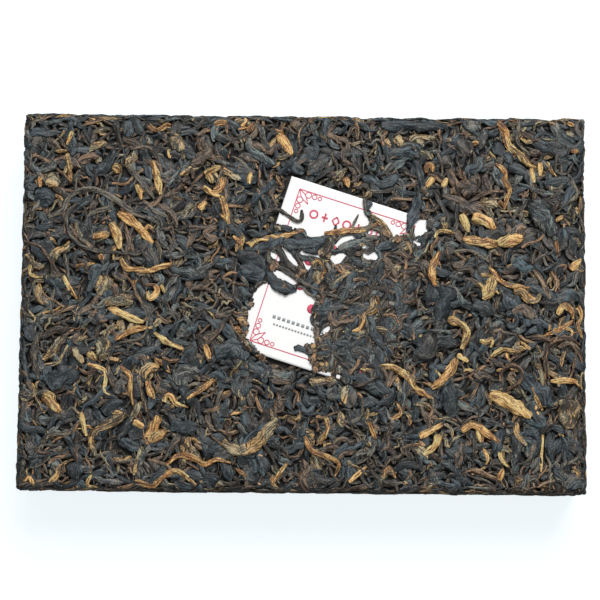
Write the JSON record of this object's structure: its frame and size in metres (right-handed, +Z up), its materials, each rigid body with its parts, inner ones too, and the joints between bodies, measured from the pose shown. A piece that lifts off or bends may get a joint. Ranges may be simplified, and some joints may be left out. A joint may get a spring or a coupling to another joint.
{
  "type": "pu erh tea brick",
  "caption": "Rectangular brick of pressed dark tea leaves with a small paper ticket bedded in its upper face; it lies flat on its base.",
  "frame": {"origin": "middle of the flat face that the brick rests on", "axes": "+Z up out of the face with the ticket, +X along the brick's length, +Y towards the top edge of the ticket"},
  "size_m": [0.142, 0.095, 0.0237],
  "materials": {
    "pressed_leaves": "dry pressed leaf, dull satin",
    "ticket_paper": "thin uncoated paper"
  },
  "bodies": {
    "root": {"tea_brick": "pressed_leaves", "ticket": "ticket_paper"}
  },
  "joints": []
}
